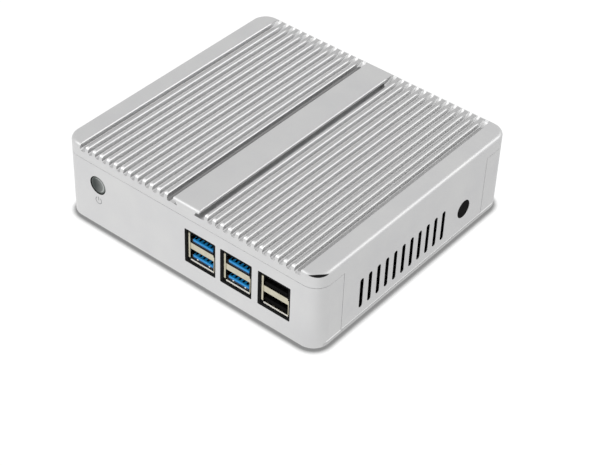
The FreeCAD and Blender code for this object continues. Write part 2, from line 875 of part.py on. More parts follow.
def make_case_screws():
    """Four long countersunk screws from the base, through the frame's bosses, into the cover."""
    screws = []
    shank_top = z_parting + size.screw_thread_depth - size.screw_tip_gap
    slope = size.screw_head_radius - size.screw_radius - size.screw_pass_clearance
    seat = slope + size.screw_pass_clearance
    for x, y in corners(screw_x, screw_y):
        shank = rod(x, y, z_case, size.screw_radius, shank_top - z_case)
        head = doc.addObject("Part::Cone", "Head")
        bind(head, "Radius1", size.screw_head_radius)
        bind(head, "Radius2", size.screw_radius)
        bind(head, "Height", seat)
        place(head, x, y, z_case)
        drive = doc.addObject("Part::Prism", "Drive")
        drive.Polygon = 6
        bind(drive, "Circumradius", size.screw_drive_radius)
        bind(drive, "Height", size.screw_drive_depth)
        place(drive, x, y, z_case)
        screws.append(cut(fuse([shank, head]), [drive], "CaseScrew"))
    node("case_screws", group(screws))


def make_board():
    """Main board under the cover's bosses, and its four screws."""
    body = new_body("main_board")
    board = new_sketch(body, "BoardOutline", "XY", z_board)
    x = board_x
    y = board_y
    notch = size.board_corner_cut
    outline(board, [
        (-x + notch, -y), (x - notch, -y), (x - notch, -y + notch), (x, -y + notch),
        (x, y - notch), (x - notch, y - notch), (x - notch, y), (-x + notch, y),
        (-x + notch, y - notch), (-x, y - notch), (-x, -y + notch), (-x + notch, -y + notch),
    ])
    for spot_x, spot_y in corners(board_screw_x, board_screw_y):
        circle(board, spot_x, spot_y, size.board_screw_radius + size.screw_pass_clearance)
    pad(body, "Board", board, size.board_thickness)

    screws = []
    tip = z_board_top + size.board_screw_depth - size.screw_tip_gap
    head_face = z_board - size.board_head_height
    for x, y in corners(board_screw_x, board_screw_y):
        shank = rod(x, y, head_face, size.board_screw_radius, tip - head_face)
        head = rod(x, y, head_face, size.board_head_radius, size.board_head_height)
        screws.append(fuse([shank, head], "BoardScrew"))
    node("board_screws", group(screws))


def make_processor():
    """Processor package and die, and the soft pad that carries heat to the cover."""
    half_x = size.cpu_width / 2
    half_y = size.cpu_depth / 2
    package_top = z_board_top + size.cpu_thickness
    die_top = package_top + size.die_thickness
    node("cpu_package", block(-half_x, half_x, -half_y, half_y, z_board_top, package_top))
    half_x = size.die_width / 2
    half_y = size.die_depth / 2
    node("cpu_die", block(-half_x, half_x, -half_y, half_y, package_top, die_top))
    half_x = half_x + size.pad_margin
    half_y = half_y + size.pad_margin
    node("thermal_pad", block(-half_x, half_x, -half_y, half_y, die_top, die_top + size.pad_thickness))


def usb_mouths():
    """Lower edges of the two mouths of a double USB socket."""
    low = z_board - size.usb_height + size.usb_mouth_low
    return [low, low + size.usb_mouth_height + size.usb_divider]


def make_usb(name, x, count, pitch):
    """Double USB socket that hangs from the board: folded shell, moulded insert and its contacts."""
    half = size.usb_width / 2
    half_mouth = size.usb_mouth_width / 2
    back = front_sockets + size.usb_length
    mouth_end = front_sockets + size.usb_mouth_depth
    low = z_board - size.usb_height
    skin = size.usb_skin
    case = block(x - half, x + half, front_sockets, back, low, z_board)
    hollows = [block(x - half + skin, x + half - skin, mouth_end, back - skin, low + skin, z_board - skin)]
    for mouth in usb_mouths():
        hollows.append(block(x - half_mouth, x + half_mouth, front_sockets, mouth_end,
                             mouth, mouth + size.usb_mouth_height))
    node(f"{name}_shell", cut(case, hollows))

    fit = size.usb_fit
    core = block(x - half + skin + fit, x + half - skin - fit, mouth_end, back - skin - fit,
                 low + skin + fit, z_board - skin - fit)
    tongue_half = size.usb_tongue_width / 2
    tongue_front = front_sockets + size.usb_tongue_setback
    lane_front = tongue_front + size.usb_lane_setback
    half_lane = size.usb_lane_width / 2
    half_contact = size.usb_contact_width / 2
    first = pitch * (count - 1) / -2
    tongues = []
    lanes = []
    contacts = []
    for mouth in usb_mouths():
        foot = mouth + size.usb_tongue_rise
        face = foot + size.usb_tongue_thickness
        floor = face - size.usb_lane_depth
        tongues.append(block(x - tongue_half, x + tongue_half, tongue_front, mouth_end, foot, face))
        for index in range(int(count.value)):
            middle = x + first + pitch * index
            lanes.append(block(middle - half_lane, middle + half_lane, lane_front, mouth_end, floor, face))
            contacts.append(block(middle - half_contact, middle + half_contact,
                                  mouth_end - size.usb_contact_length, mouth_end,
                                  floor, floor + size.contact_thickness))
    node(f"{name}_insulator", cut(fuse([core] + tongues), lanes))
    node(f"{name}_contacts", group(contacts))
    make_gasket(f"{name}_gasket", x)


def make_gasket(label, x):
    """Black foam frame that fills the gap between a USB socket and the front wall."""
    fit = size.gasket_fit
    left, right, low, high = usb_opening(x)
    half = size.usb_width / 2 + fit
    body = new_body(label)
    foam = new_sketch(body, "FoamOutline", "XZ", half_depth - size.gasket_setback)
    rectangle(foam, left + fit, right - fit, low + fit, high - fit, size.usb_cut_corner)
    rectangle(foam, x - half, x + half, z_board - size.usb_height - fit, z_board + fit)
    feature = pad(body, "Foam", foam, size.gasket_length)
    feature.Reversed = True


def make_button():
    """Dished power button with a flange behind the wall, and the switch that it presses."""
    cap = new_body("power_button")
    half = new_sketch(cap, "HalfProfile", "XZ")
    flange_face = size.end_wall + size.button_flange_gap - size.button_setback
    back = flange_face + size.button_flange_thickness
    radius = size.button_radius
    rim = size.button_edge
    outline(half, [
        (0, size.button_dish), (size.button_dish_radius, 0), (radius - rim, 0), (radius, rim),
        (radius, flange_face), (radius + size.button_flange, flange_face),
        (radius + size.button_flange, back), (0, back),
    ])
    revolve(cap, "Cap", half)
    front = -half_depth + size.button_setback
    place(cap, button_x, front, z_button, TURN_TO_Y)

    plunger_front = front + back
    switch_front = -half_depth + size.switch_setback
    plunger_end = switch_front + size.plunger_engage
    node("switch_plunger", rod(button_x, plunger_front, z_button, size.plunger_radius,
                               plunger_end - plunger_front, TURN_TO_Y))
    half_switch = size.switch_width / 2
    case = block(button_x - half_switch, button_x + half_switch,
                 switch_front, switch_front + size.switch_length, z_board - size.switch_top, z_board)
    bore_depth = size.plunger_engage + size.button_travel + size.plunger_end_gap
    bore = rod(button_x, switch_front, z_button, size.plunger_radius + size.plunger_clearance,
               bore_depth, TURN_TO_Y)
    node("power_switch", cut(case, [bore]))


def make_edge_card(card_label, socket_label, x_low, x_high, y_low, y_high, top, thickness, socket):
    """A card whose edge is held in a slot of its socket. socket is the socket's own box."""
    card = block(x_low, x_high, y_low, y_high, top - thickness, top)
    node(card_label, card)
    gap = size.edge_clearance
    space = block(x_low - gap, x_high + gap, y_low - gap, y_high + gap, top - thickness - gap, top + gap)
    node(socket_label, cut(block(*socket), [space]))


def make_cards():
    """Memory, drive and radio cards, flat under the board."""
    half = size.memory_length / 2
    half_socket = size.memory_socket_length / 2
    back = size.memory_y
    front = back - size.memory_depth
    make_edge_card("memory_module", "memory_socket", size.memory_x - half, size.memory_x + half, front, back,
                   z_board - size.memory_drop, size.memory_thickness,
                   (size.memory_x - half_socket, size.memory_x + half_socket,
                    back - size.edge_engage, back - size.edge_engage + size.memory_socket_depth,
                    z_board - size.memory_socket_height, z_board))

    half = size.drive_length / 2
    half_y = size.drive_depth / 2
    right = size.drive_x + half
    make_edge_card("drive_card", "drive_socket", size.drive_x - half, right,
                   size.drive_y - half_y, size.drive_y + half_y,
                   z_board - size.drive_drop, size.drive_thickness,
                   (right - size.edge_engage, right - size.edge_engage + size.drive_socket_depth,
                    size.drive_y - half_y, size.drive_y + half_y,
                    z_board - size.drive_socket_height, z_board))

    half = size.radio_width / 2
    half_y = size.radio_length / 2
    back = size.radio_y + half_y
    make_edge_card("radio_card", "radio_socket", size.radio_x - half, size.radio_x + half,
                   back - size.radio_length, back,
                   z_board - size.radio_drop, size.radio_thickness,
                   (size.radio_x - half, size.radio_x + half,
                    back - size.edge_engage, back - size.edge_engage + size.radio_socket_depth,
                    z_board - size.radio_socket_height, z_board))


def make_coin_cell():
    """Clock battery in a round holder under the board."""
    floor = z_board - size.holder_floor
    reach = size.cell_radius + size.cell_clearance
    node("coin_cell", rod(size.cell_x, size.cell_y, floor - size.cell_thickness,
                          size.cell_radius, size.cell_thickness))
    height = size.holder_floor + size.cell_thickness
    cup = rod(size.cell_x, size.cell_y, z_board - height, reach + size.holder_wall, height)
    space = rod(size.cell_x, size.cell_y, z_board - height, reach, size.cell_thickness)
    node("cell_holder", cut(cup, [space]))


def make_power_parts():
    """Inductors and capacitors on top of the board, beside the processor."""
    inductors = []
    half = size.inductor_side / 2
    for index in range(int(size.inductor_count.value)):
        y = size.inductor_pitch * (size.inductor_count - 1) / -2 + size.inductor_pitch * index
        inductors.append(block(size.inductor_x - half, size.inductor_x + half, y - half, y + half,
                               z_board_top, z_board_top + size.inductor_height))
    node("inductors", group(inductors))
    cans = []
    for index in range(int(size.capacitor_count.value)):
        y = size.capacitor_pitch * (size.capacitor_count - 1) / -2 + size.capacitor_pitch * index
        cans.append(rod(size.capacitor_x, y, z_board_top, size.capacitor_radius, size.capacitor_height))
    node("capacitors", group(cans))


def make_aerial_plug(label, side):
    """Black plug that fills an aerial hole, with a flange inside the skirt."""
    body = new_body(label)
    half = new_sketch(body, "HalfProfile", "XZ")
    radius = size.aerial_radius - size.plug_clearance
    flange = size.aerial_radius + size.plug_flange
    depth = size.side_wall - size.plug_setback
    back = depth + size.plug_flange_thickness
    outline(half, [(0, 0), (radius, 0), (radius, depth), (flange, depth), (flange, back), (0, back)])
    revolve(body, "Plug", half)
    turn = TURN_TO_MINUS_X if side > 0 else TURN_TO_X
    place(body, (half_width - size.plug_setback) * side, size.aerial_place, size.aerial_height, turn)


def make_barrel_socket(label, x, width, height, length, barrel, bore, bore_depth):
    """A moulded rear socket: a block under the board and a round barrel through the back wall."""
    half = width / 2
    z = z_board - height / 2
    case = block(x - half, x + half, rear_bodies - length, rear_bodies, z_board - height, z_board)
    neck_start = rear_bodies - length / 2
    neck = rod(x, neck_start, z, barrel, rear_sockets - neck_start, TURN_TO_Y)
    hole = rod(x, rear_sockets - bore_depth, z, bore, bore_depth, TURN_TO_Y)
    return node(label, cut(fuse([case, neck]), [hole]))


def make_supply_socket():
    """Round supply socket with its centre pin."""
    make_barrel_socket("supply_socket", size.supply_x, size.supply_width, size.supply_height,
                       size.supply_length, size.supply_barrel_radius, size.supply_bore_radius,
                       size.supply_bore_depth)
    z = z_board - size.supply_height / 2
    node("supply_pin", rod(size.supply_x, rear_sockets - size.supply_bore_depth, z,
                           size.supply_pin_radius, size.supply_pin_length, TURN_TO_Y))


def make_sound_sockets():
    """Speaker and microphone sockets."""
    for label, x in (("speaker_socket", size.speaker_x), ("microphone_socket", size.microphone_x)):
        make_barrel_socket(label, x, size.sound_width, size.sound_height, size.sound_length,
                           size.sound_barrel_radius, size.sound_bore_radius, size.sound_bore_depth)


def video_outline(sketch, x, inset):
    """Mouth of a video socket: flat below, with its upper corners cut off."""
    half = size.video_width / 2 - inset
    low = z_board - size.video_height + inset
    high = z_board - inset
    outline(sketch, [
        (x - half, low), (x + half, low), (x + half, high - size.video_bevel_z),
        (x + half - size.video_bevel_x, high), (x - half + size.video_bevel_x, high),
        (x - half, high - size.video_bevel_z),
    ])


def make_video_socket(name, x):
    """Video socket: folded shell with a tongue in the middle."""
    body = new_body(f"{name}_shell")
    start = rear_sockets - size.video_length
    outer = new_sketch(body, "ShellOutline", "XZ", -rear_sockets)
    video_outline(outer, x, as_size(0))
    pad(body, "Shell", outer, size.video_length)
    inner = new_sketch(body, "MouthOutline", "XZ", -rear_sockets)
    video_outline(inner, x, size.video_skin)
    pocket(body, "Mouth", inner, size.video_length - size.video_skin)

    insert = new_body(f"{name}_tongue")
    fit = size.usb_fit
    core = new_sketch(insert, "CoreOutline", "XZ", -start - size.video_skin - fit)
    video_outline(core, x, size.video_skin + fit)
    core_pad = pad(insert, "Core", core, size.video_rear_block)
    core_pad.Reversed = True
    tongue = new_sketch(insert, "TongueOutline", "XZ", -rear_sockets + size.video_tongue_setback)
    half = size.video_tongue_width / 2
    middle = z_board - size.video_height / 2
    thick = size.video_tongue_thickness / 2
    rectangle(tongue, x - half, x + half, middle - thick, middle + thick)
    pad(insert, "Tongue", tongue,
        size.video_length - size.video_tongue_setback - size.video_skin - fit)


def make_network_socket():
    """Network socket: metal shield, moulded housing with the latch notch on top, eight contacts."""
    x = size.network_x
    half = size.network_width / 2
    skin = size.network_skin
    fit = size.network_fit
    low = z_board - size.network_height
    start = rear_sockets - size.network_length
    case = block(x - half, x + half, start, rear_sockets, low, z_board)
    hollow = block(x - half + skin, x + half - skin, start + skin, rear_sockets, low + skin, z_board - skin)
    node("network_shield", cut(case, [hollow]))

    inset = skin + fit
    core = block(x - half + inset, x + half - inset, start + inset, rear_sockets - fit,
                 low + inset, z_board - inset)
    half_mouth = size.network_mouth_width / 2
    mouth_low = low + size.network_mouth_low
    mouth_high = mouth_low + size.network_mouth_height
    mouth_end = rear_sockets - size.network_mouth_depth
    mouth = block(x - half_mouth, x + half_mouth, mouth_end, rear_sockets, mouth_low, mouth_high)
    half_latch = size.network_latch_width / 2
    latch = block(x - half_latch, x + half_latch, mouth_end, rear_sockets,
                  mouth_high, mouth_high + size.network_latch_height)
    node("network_housing", cut(core, [mouth, latch]))

    contacts = []
    half_wire = size.network_contact_width / 2
    for index in range(int(size.network_contact_count.value)):
        first = size.network_contact_pitch * (size.network_contact_count - 1) / -2
        middle = x + first + size.network_contact_pitch * index
        contacts.append(block(middle - half_wire, middle + half_wire,
                              mouth_end, mouth_end + size.network_contact_length,
                              mouth_low, mouth_low + size.network_contact_height))
    node("network_contacts", group(contacts))


def check_document():
    """Stop if any object failed or any sub-part is not a sound solid."""
    for thing in doc.Objects:
        if "Invalid" in thing.State or "Error" in thing.State:
            raise RuntimeError(f"{thing.Label} failed: {thing.State}")
    for label, thing in NODES.items():
        shape = thing.Shape
        if shape.isNull() or not shape.isValid() or not shape.Solids:
            raise RuntimeError(f"{label} has no sound shape")


def write_parts():
    """One file for each sub-part."""
    os.makedirs("parts", exist_ok=True)
    for label, thing in NODES.items():
        thing.Shape.exportStep(f"parts/{label}.step")
        box = thing.Shape.BoundBox
        print(f"{label:22s} solids {len(thing.Shape.Solids):2d}  volume {thing.Shape.Volume:10.2f}"
              f"  x {box.XMin:7.2f} {box.XMax:7.2f}  y {box.YMin:7.2f} {box.YMax:7.2f}"
              f"  z {box.ZMin:6.2f} {box.ZMax:6.2f}")


make_heatsink_cover()
make_chassis_frame()
make_base_plate()
make_feet()
make_case_screws()
make_board()
make_processor()
make_usb("usb3_left", usb_first, size.usb3_contact_count, size.usb3_contact_pitch)
make_usb("usb3_right", usb_second, size.usb3_contact_count, size.usb3_contact_pitch)
make_usb("usb2", usb_third, size.usb2_contact_count, size.usb2_contact_pitch)
make_button()
make_cards()
make_coin_cell()
make_power_parts()
make_aerial_plug("aerial_plug_right", 1)
make_aerial_plug("aerial_plug_left", -1)
make_supply_socket()
make_video_socket("video_left", size.video_x_first)
make_video_socket("video_right", size.video_x_second)
make_network_socket()
make_sound_sockets()
doc.recompute()
check_document()
write_parts()
print(len(NODES), "sub-parts")
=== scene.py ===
"""Looks of the fanless signage player: finishes, small details, studio light and camera.

All lengths are in metres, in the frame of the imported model.
"""
import json
import math

import bmesh
import bpy
from mathutils import Matrix, Vector


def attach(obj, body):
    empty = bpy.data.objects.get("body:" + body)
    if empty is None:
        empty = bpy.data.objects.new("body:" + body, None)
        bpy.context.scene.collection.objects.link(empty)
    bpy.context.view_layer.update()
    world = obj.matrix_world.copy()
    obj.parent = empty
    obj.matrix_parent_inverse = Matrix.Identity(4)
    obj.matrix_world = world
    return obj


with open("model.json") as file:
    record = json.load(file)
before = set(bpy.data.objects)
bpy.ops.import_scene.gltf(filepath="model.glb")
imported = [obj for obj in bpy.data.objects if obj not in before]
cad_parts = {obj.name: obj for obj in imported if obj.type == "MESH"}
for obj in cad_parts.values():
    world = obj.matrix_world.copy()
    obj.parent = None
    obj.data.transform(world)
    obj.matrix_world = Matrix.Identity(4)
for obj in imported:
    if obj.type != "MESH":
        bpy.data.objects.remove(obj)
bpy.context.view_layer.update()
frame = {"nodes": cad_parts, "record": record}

MM = 0.001
CASE = "case"

# Camera, fitted to the photograph's edges
CAMERA_AZIMUTH = math.radians(37.779)
CAMERA_ELEVATION = math.radians(40.195)
CAMERA_ROLL = math.radians(2.479)
CAMERA_DISTANCE = 0.686985
CAMERA_LENS = 97.78
SENSOR_WIDTH = 36.0
AIM_HEIGHT = 0.018
AIM_RIGHT = 0.00689
AIM_UP = -0.025174

# Studio
WORLD_LEVEL = 0.86
KEY_POWER = 2.5
RIM_POWER = 2.3
FLOOR_SIZE = 3.0
FLOOR_GLOW = 0.85
FLOOR_GLOW_FRONT = 0.20
FLOOR_WHITE = 1.05
# Painted contact shadow on the floor
CONTACT_SHADOW_GREY = 0.26
CONTACT_REACH = 3.2 * MM

# Case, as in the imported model
FRONT_Y = -63 * MM
HALF_WIDTH = 67 * MM
HALF_DEPTH = 63 * MM
CORNER_RADIUS = 7.5 * MM
EDGE_RADIUS = 1.8 * MM
TOP_Z = 39 * MM
GROOVE_Z = 36.1 * MM
CEILING_Z = 33.3 * MM
SKIRT_Z = 3.05 * MM
BAR_EDGE = 6.9 * MM
FIRST_FIN = 9.8 * MM
LAST_FIN = 54.9 * MM
LAST_GROOVE = 57.8 * MM
RUN_OUT_Y = HALF_DEPTH - EDGE_RADIUS
BEVEL_Z = TOP_Z - 0.4 * MM
USB3_X = (7.65 * MM, 26.35 * MM)
USB2_X = 45.65 * MM
USB_FACE_Y = -62.15 * MM
TONGUE_FACE_Y = -61.85 * MM
BUTTON_X = -48.6 * MM
BUTTON_Z = 22.6 * MM
BUTTON_RADIUS = 4.2 * MM
SYMBOL_Z = 14.8 * MM

# Where one zone of painted light and shade ends and the next begins
SLACK = 0.1 * MM
SKIN = 0.015 * MM
WALL_SKIN = 0.12 * MM
FIN_FLAT_Z = TOP_Z - 0.03 * MM
HOLLOW_LOW_Z = 1.5 * MM
TONGUE_FEET_Z = (12.0 * MM, 20.1 * MM)
SHADE_FRONT_Y = -61.3 * MM

# Length of the tool marks' grain
TOOL_GRAIN = 0.45 * MM


def make_camera():
    """The photograph's viewpoint."""
    sin_az, cos_az = math.sin(CAMERA_AZIMUTH), math.cos(CAMERA_AZIMUTH)
    sin_el, cos_el = math.sin(CAMERA_ELEVATION), math.cos(CAMERA_ELEVATION)
    back = Vector((sin_az * cos_el, -cos_az * cos_el, sin_el))
    right = (-back).cross(Vector((0, 0, 1))).normalized()
    up = right.cross(-back)
    aim = Vector((0, 0, AIM_HEIGHT)) + right * AIM_RIGHT + up * AIM_UP
    rolled_right = right * math.cos(CAMERA_ROLL) + up * math.sin(CAMERA_ROLL)
    rolled_up = up * math.cos(CAMERA_ROLL) - right * math.sin(CAMERA_ROLL)
    turn = Matrix((rolled_right, rolled_up, back)).transposed()
    data = bpy.data.cameras.new("Camera")
    data.sensor_fit = "HORIZONTAL"
    data.sensor_width = SENSOR_WIDTH
    data.lens = CAMERA_LENS
    data.clip_start = 0.01
    data.clip_end = 10.0
    camera = bpy.data.objects.new("Camera", data)
    camera.matrix_world = Matrix.Translation(aim + back * CAMERA_DISTANCE) @ turn.to_4x4()
    bpy.context.scene.collection.objects.link(camera)
    bpy.context.scene.camera = camera


def new_material(name):
    """A material with its node tree and shader."""
    material = bpy.data.materials.new(name)
    material.use_nodes = True
    tree = material.node_tree
    return material, tree, tree.nodes["Principled BSDF"]


def object_point(tree):
    """The point's place on its object."""
    found = tree.nodes.get("Place")
    if found is None:
        found = tree.nodes.new("ShaderNodeTexCoord")
        found.name = "Place"
    return found.outputs["Object"]


def noise(tree, grain, detail=3.0, stretch=(1, 1, 1)):
    """Noise whose lumps are about grain long, less where stretch is above 1."""
    mapping = tree.nodes.new("ShaderNodeMapping")
    mapping.inputs["Scale"].default_value = stretch
    tree.links.new(object_point(tree), mapping.inputs["Vector"])
    texture = tree.nodes.new("ShaderNodeTexNoise")
    texture.inputs["Scale"].default_value = 1 / grain
    texture.inputs["Detail"].default_value = detail
    tree.links.new(mapping.outputs["Vector"], texture.inputs["Vector"])
    return texture.outputs["Fac"]


def spread(tree, value, low, high, start=0.3, end=0.7):
    """A value between start and end, spread over low to high."""
    node = tree.nodes.new("ShaderNodeMapRange")
    node.inputs["From Min"].default_value = start
    node.inputs["From Max"].default_value = end
    node.inputs["To Min"].default_value = low
    node.inputs["To Max"].default_value = high
    tree.links.new(value, node.inputs["Value"])
    return node.outputs["Result"]


def blend_colours(tree, value, first, second, start=0.3, end=0.7):
    """Colours from first to second as a value goes from start to end."""
    ramp = tree.nodes.new("ShaderNodeValToRGB")
    ramp.color_ramp.elements[0].position = start
    ramp.color_ramp.elements[0].color = (*first, 1)
    ramp.color_ramp.elements[1].position = end
    ramp.color_ramp.elements[1].color = (*second, 1)
    tree.links.new(value, ramp.inputs["Fac"])
    return ramp.outputs["Color"]


def bump(tree, shader, height, depth):
    """Relief of the given depth."""
    node = tree.nodes.new("ShaderNodeBump")
    node.inputs["Strength"].default_value = 1.0
    node.inputs["Distance"].default_value = depth
    tree.links.new(height, node.inputs["Height"])
    tree.links.new(node.outputs["Normal"], shader.inputs["Normal"])


def step(tree, operation, first, second=0.0):
    """One sum of a shader, of two numbers or earlier results."""
    node = tree.nodes.new("ShaderNodeMath")
    node.operation = operation
    for socket, value in zip(node.inputs, (first, second)):
        if isinstance(value, float):
            socket.default_value = value
        else:
            tree.links.new(value, socket)
    return node.outputs["Value"]


def axes(tree):
    """The point's place on its object, as X, Y and Z."""
    found = tree.nodes.get("Axes")
    if found is None:
        found = tree.nodes.new("ShaderNodeSeparateXYZ")
        found.name = "Axes"
        tree.links.new(object_point(tree), found.inputs["Vector"])
    return found.outputs


def hollow(tree):
    """1 on the case's inner faces and in its holes, 0 on its outer faces."""
    place = axes(tree)
    squares = []
    for axis, half in (("X", HALF_WIDTH), ("Y", HALF_DEPTH)):
        past = step(tree, "SUBTRACT", step(tree, "ABSOLUTE", place[axis]), half - CORNER_RADIUS)
        past = step(tree, "MAXIMUM", past, 0.0)
        squares.append(step(tree, "MULTIPLY", past, past))
    reach = step(tree, "SQRT", step(tree, "ADD", *squares))
    past_side = step(tree, "SUBTRACT", reach, CORNER_RADIUS - WALL_SKIN)
    past_top = step(tree, "SUBTRACT", place["Z"], CEILING_Z + 0.3 * MM)
    past_base = step(tree, "SUBTRACT", HOLLOW_LOW_Z, place["Z"])
    farthest = step(tree, "MAXIMUM", step(tree, "MAXIMUM", past_top, past_base), past_side)
    return step(tree, "LESS_THAN", farthest, 0.0)


def within(tree, limits):
    """1 between all the limits. X, Y and Z are the point's place, AX and AY the same without sign."""
    result = 1.0
    for axis, (low, high) in limits.items():
        value = axes(tree)[axis[-1]]
        if axis[0] == "A":
            value = step(tree, "ABSOLUTE", value)
        above = step(tree, "GREATER_THAN", value, low)
        below = step(tree, "LESS_THAN", value, high)
        result = step(tree, "MULTIPLY", result, step(tree, "MULTIPLY", above, below))
    return result


def shade(tree, colour, mask, inner):
    """The colour, changed to inner, a colour or a result, where the mask is 1."""
    mix = tree.nodes.new("ShaderNodeMix")
    mix.data_type = "RGBA"
    tree.links.new(mask, mix.inputs["Factor"])
    tree.links.new(colour, mix.inputs["A"])
    if isinstance(inner, tuple):
        mix.inputs["B"].default_value = (*inner, 1)
    else:
        tree.links.new(inner, mix.inputs["B"])
    return mix.outputs["Result"]


def faces_left(tree):
    """1 on surfaces that lean to the left."""
    place = object_point(tree).node
    split = tree.nodes.new("ShaderNodeSeparateXYZ")
    tree.links.new(place.outputs["Normal"], split.inputs["Vector"])
    return step(tree, "LESS_THAN", split.outputs["X"], -0.3)


def grey(level):
    """A neutral colour."""
    return (level, level, level)


def tint_zones(tree, colour, *zones):
    """The colour, changed in each zone in turn. A zone is its limits and its own colour."""
    for limits, inner in zones:
        colour = shade(tree, colour, within(tree, limits), inner)
    return colour


def tint_fins(tree, colour):
    """Painted light and shade on the fins and grooves: darker speckled fin tops, grooves darker low and
    lighter high, a darker outer groove floor, and painted highlights on the bevels and fin ends, with
    edges lighter to the right than to the left, where the bevels that lean left get painted shade.
    """
    run = (-1.0, RUN_OUT_Y)
    fins = {"AX": (FIRST_FIN, LAST_FIN), "Z": (FIN_FLAT_Z, TOP_Z + 1 * MM)}
    fin_ends = {"AX": (FIRST_FIN, LAST_FIN), "AY": (RUN_OUT_Y, HALF_DEPTH - 0.4 * MM),
                "Z": (TOP_Z - 1.2 * MM, FIN_FLAT_Z)}
    grooves = {"AX": (FIRST_FIN + SLACK, LAST_GROOVE + SLACK), "AY": run,
               "Z": (GROOVE_Z - SLACK, BEVEL_Z)}
    outer_floor = {"AX": (LAST_FIN + SLACK, LAST_GROOVE + SLACK), "AY": run,
                   "Z": (GROOVE_Z - SLACK, GROOVE_Z + 0.5 * MM)}
    bevels = {"AX": (FIRST_FIN - SLACK, LAST_GROOVE + 0.5 * MM), "AY": run,
              "Z": (BEVEL_Z, TOP_Z - SKIN)}
    # Painted shade: fin tops darker than the case, with a random speckle.
    speckle = blend_colours(tree, noise(tree, TOOL_GRAIN, 2.0), grey(0.51), grey(0.61))
    # Painted light and shade: grooves darker at the floor, lighter towards the top.
    height = spread(tree, axes(tree)["Z"], 0.0, 1.0, GROOVE_Z, TOP_Z - 0.6 * MM)
    wall = blend_colours(tree, height, grey(0.58), grey(0.98), start=0.0, end=1.0)
    # Painted shade on the outer groove floor, painted highlight on the bevels.
    colour = tint_zones(tree, colour, (fins, speckle), (grooves, wall), (outer_floor, grey(0.42)),
                        (bevels, grey(0.72)))
    # Painted shade on the bevels that lean to the left.
    shaded_left_bevels = step(tree, "MULTIPLY", within(tree, bevels), faces_left(tree))
    colour = shade(tree, colour, shaded_left_bevels, grey(0.40))
    # Painted highlight on the rounded fin ends.
    return tint_zones(tree, colour, (fin_ends, grey(0.82)))


def tint_channel(tree, colour):
    """The channel left of the bar, with painted light and shade: painted shade dark on its floor and on
    the bar's shoulder, its walls painted lighter than the case, and painted light on its run-outs.
    """
    bar_side = 0.4 * MM - BAR_EDGE
    channel = {"X": (-FIRST_FIN - SLACK, bar_side), "Z": (GROOVE_Z - SLACK, BEVEL_Z)}
    floor = {"X": (-FIRST_FIN, bar_side), "Z": (GROOVE_Z - SLACK, GROOVE_Z + 0.9 * MM)}
    shoulder = {"X": (-BAR_EDGE - 0.4 * MM, bar_side), "Z": (BEVEL_Z, TOP_Z - SKIN)}
    run_out = {"X": (-BAR_EDGE - 1.6 * MM, 0.5 * MM - BAR_EDGE), "AY": (RUN_OUT_Y, HALF_DEPTH + 1 * MM),
               "Z": (GROOVE_Z - SLACK, TOP_Z)}
    # Painted light: the channel's walls lighter than the case, with a random speckle.
    speckle = blend_colours(tree, noise(tree, TOOL_GRAIN, 2.0), grey(0.78), grey(0.88))
    # Painted shade on the floor and shoulder, painted light on the run-outs.
    return tint_zones(tree, colour, (channel, speckle), (floor, grey(0.27)), (shoulder, grey(0.10)),
                      (run_out, grey(0.66)))


def tint_sides(tree, colour):
    """Painted highlight on the skirts' lower edges, painted shade on the sills, painted shade inside
    the case and on the wall of the button's hole.
    """
    outside = HALF_WIDTH + 1 * MM
    skirt_low = SKIRT_Z - 0.15 * MM
    skirt = {"AX": (HALF_WIDTH - SLACK, outside), "Z": (skirt_low, SKIRT_Z + 0.45 * MM)}
    sill = {"AX": (HALF_WIDTH - 0.5 * MM, outside), "Z": (0.0, skirt_low)}
    hole = BUTTON_RADIUS + 0.5 * MM
    button_hole = {"X": (BUTTON_X - hole, BUTTON_X + hole), "Y": (FRONT_Y + SLACK, FRONT_Y + 2.5 * MM),
                   "Z": (BUTTON_Z - hole, BUTTON_Z + hole)}
    # Painted highlight on the skirts' lower edges, painted shade on the sills.
    colour = tint_zones(tree, colour, (skirt, grey(0.96)), (sill, grey(0.56)))
    # Painted shade: near black on the case's inner faces and in its holes.
    colour = shade(tree, colour, hollow(tree), grey(0.012))
    # Painted shade on the wall of the button's hole, lighter than inside the case.
    return tint_zones(tree, colour, (button_hole, (0.22, 0.23, 0.225)))


def tint_aluminium(tree, colour):
    """All of the painted light and shade on the case."""
    return tint_sides(tree, tint_channel(tree, tint_fins(tree, colour)))


def tint_blue(tree, colour):
    """Painted shade on the blue tongues: black behind their front edge, a dark lower half of their
    front, and a black left end.
    """
    black = (0.002, 0.003, 0.006)
    for low in TONGUE_FEET_Z:
        # Painted shade: black behind the tongue's front edge, dark navy on the lower part of its front.
        shade_behind_front = {"Y": (SHADE_FRONT_Y, 0.0), "Z": (low - 1 * MM, low + 2.18 * MM)}
        foot = {"Y": (-62 * MM, SHADE_FRONT_Y), "Z": (low, low + 1.15 * MM)}
        colour = tint_zones(tree, colour, (shade_behind_front, black), (foot, (0.002, 0.012, 0.04)))
    for middle in USB3_X:
        # Painted shade: black at the left end of the larger tongues.
        left_end = {"X": (middle - 5.7 * MM, middle - 4.8 * MM)}
        colour = tint_zones(tree, colour, (left_end, black))
    return colour


def distance(tree, middle_x, middle_z):
    """How far the point is from a line along Y."""
    squares = []
    for axis, middle in (("X", middle_x), ("Z", middle_z)):
        away = step(tree, "SUBTRACT", axes(tree)[axis], middle)
        squares.append(step(tree, "MULTIPLY", away, away))
    return step(tree, "SQRT", step(tree, "ADD", *squares))


